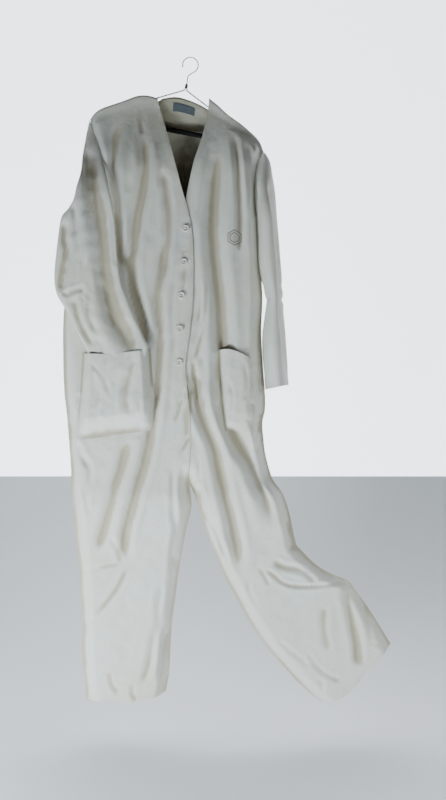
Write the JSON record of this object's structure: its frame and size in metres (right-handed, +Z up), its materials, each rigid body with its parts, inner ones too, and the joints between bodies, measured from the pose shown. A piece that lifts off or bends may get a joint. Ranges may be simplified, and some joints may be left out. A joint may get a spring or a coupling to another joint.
{
  "type": "beekeeping suit",
  "caption": "Off-white cotton beekeeper's coverall on a hanger: buttoned V-neck front, patch pockets, long sleeves, straight legs.",
  "frame": {"origin": "the point under the top of the hanger's hook where a rail bears", "axes": "+Z up, front of the suit towards -Y, the wearer's left towards +X"},
  "size_m": [0.8752, 0.1457, 1.6931],
  "materials": {
    "cotton": "plain woven cotton drill, off-white, matte, lightly creased",
    "cotton_inside": "the same cotton inside and on facings, a little yellower",
    "button_plastic": "pearly white, semi-gloss",
    "label_cloth": "woven satin label, blank",
    "badge_print": "dark grey print on cotton, matte",
    "hanger_metal": "satin steel wire",
    "grip_foam": "black foam sleeve, matte"
  },
  "bodies": {
    "hook": {"hanger_hook": "hanger_metal"},
    "suit": {"hanger_collar": "hanger_metal", "hanger_arms": "hanger_metal", "hanger_bar_grip": "grip_foam", "right_front_panel": "cotton", "left_front_panel": "cotton", "right_front_facing": "cotton_inside", "left_front_facing": "cotton_inside", "back_yoke": "cotton", "back_panel": "cotton", "back_neck_facing": "cotton_inside", "neck_label": "label_cloth", "chest_badge": "badge_print", "right_pocket": "cotton", "right_pocket_hem": "cotton_inside", "left_pocket": "cotton", "left_pocket_hem": "cotton_inside", "right_sleeve_head": "cotton", "left_sleeve_head": "cotton", "right_hip_fold": "cotton", "left_hip_fold": "cotton"},
    "right_arm": {"right_upper_sleeve": "cotton", "right_elbow_fold": "cotton"},
    "right_forearm": {"right_forearm_sleeve": "cotton", "right_cuff_hem": "cotton"},
    "left_arm": {"left_upper_sleeve": "cotton", "left_elbow_fold": "cotton"},
    "left_forearm": {"left_forearm_sleeve": "cotton", "left_cuff_hem": "cotton"},
    "right_thigh": {"right_thigh_front": "cotton", "right_thigh_back": "cotton", "right_knee_fold": "cotton"},
    "right_shank": {"right_shank_front": "cotton", "right_shank_back": "cotton", "right_trouser_hem": "cotton"},
    "left_thigh": {"left_thigh_front": "cotton", "left_thigh_back": "cotton", "left_knee_fold": "cotton"},
    "left_shank": {"left_shank_front": "cotton", "left_shank_back": "cotton", "left_trouser_hem": "cotton"},
    "top_button": {"button_1": "button_plastic"},
    "second_button": {"button_2": "button_plastic"},
    "third_button": {"button_3": "button_plastic"},
    "fourth_button": {"button_4": "button_plastic"},
    "fifth_button": {"button_5": "button_plastic"}
  },
  "joints": [
    {"name": "hook_swivel", "type": "hinge", "parent": "hook", "child": "suit", "pos_m": [0, 0, -0.019], "axis": [0.1874, 0, 0.9823], "continuous": true},
    {"name": "right_shoulder", "type": "hinge", "parent": "suit", "child": "right_arm", "pos_m": [-0.2516, -0.01, -0.183], "axis": [0, 1, 0], "range_deg": [0, 11], "deforming": ["right_sleeve_head"]},
    {"name": "right_elbow", "type": "hinge", "parent": "right_arm", "child": "right_forearm", "pos_m": [-0.255, -0.059, -0.61], "axis": [0, 1, 0], "range_deg": [-36, 0], "deforming": ["right_elbow_fold"]},
    {"name": "left_shoulder", "type": "hinge", "parent": "suit", "child": "left_arm", "pos_m": [0.19, -0.005, -0.25], "axis": [0, -1, 0], "range_deg": [0, 75], "deforming": ["left_sleeve_head"]},
    {"name": "left_elbow", "type": "hinge", "parent": "left_arm", "child": "left_forearm", "pos_m": [0.215, -0.005, -0.59], "axis": [0, -1, 0], "range_deg": [0, 60], "deforming": ["left_elbow_fold"]},
    {"name": "right_hip", "type": "hinge", "parent": "suit", "child": "right_thigh", "pos_m": [-0.16, -0.005, -1.1354], "axis": [1, 0, 0], "range_deg": [-35, 35], "deforming": ["right_hip_fold"]},
    {"name": "right_knee", "type": "hinge", "parent": "right_thigh", "child": "right_shank", "pos_m": [-0.16, -0.005, -1.34], "axis": [1, 0, 0], "range_deg": [0, 80], "deforming": ["right_knee_fold"]},
    {"name": "left_hip", "type": "hinge", "parent": "suit", "child": "left_thigh", "pos_m": [0.11, -0.005, -1.1354], "axis": [1, 0, 0], "range_deg": [-35, 35], "deforming": ["left_hip_fold"]},
    {"name": "left_knee", "type": "hinge", "parent": "left_thigh", "child": "left_shank", "pos_m": [0.2, -0.005, -1.3486], "axis": [0.9157, 0, 0.4019], "range_deg": [0, 80], "deforming": ["left_knee_fold"]},
    {"name": "top_button_turn", "type": "hinge", "parent": "suit", "child": "top_button", "pos_m": [-0.0105, -0.0477, -0.456], "axis": [0, 1, 0], "range_deg": [-40, 40]},
    {"name": "second_button_turn", "type": "hinge", "parent": "suit", "child": "second_button", "pos_m": [-0.0161, -0.0477, -0.543], "axis": [0, 1, 0], "range_deg": [-40, 40]},
    {"name": "third_button_turn", "type": "hinge", "parent": "suit", "child": "third_button", "pos_m": [-0.0221, -0.0477, -0.63], "axis": [0, 1, 0], "range_deg": [-40, 40]},
    {"name": "fourth_button_turn", "type": "hinge", "parent": "suit", "child": "fourth_button", "pos_m": [-0.0267, -0.0477, -0.717], "axis": [0, 1, 0], "range_deg": [-40, 40]},
    {"name": "fifth_button_turn", "type": "hinge", "parent": "suit", "child": "fifth_button", "pos_m": [-0.0287, -0.0477, -0.804], "axis": [0, 1, 0], "range_deg": [-40, 40]}
  ],
  "couplings": [
    {"joint": "right_elbow", "follows": "right_shoulder", "ratio": -3.23}
  ]
}
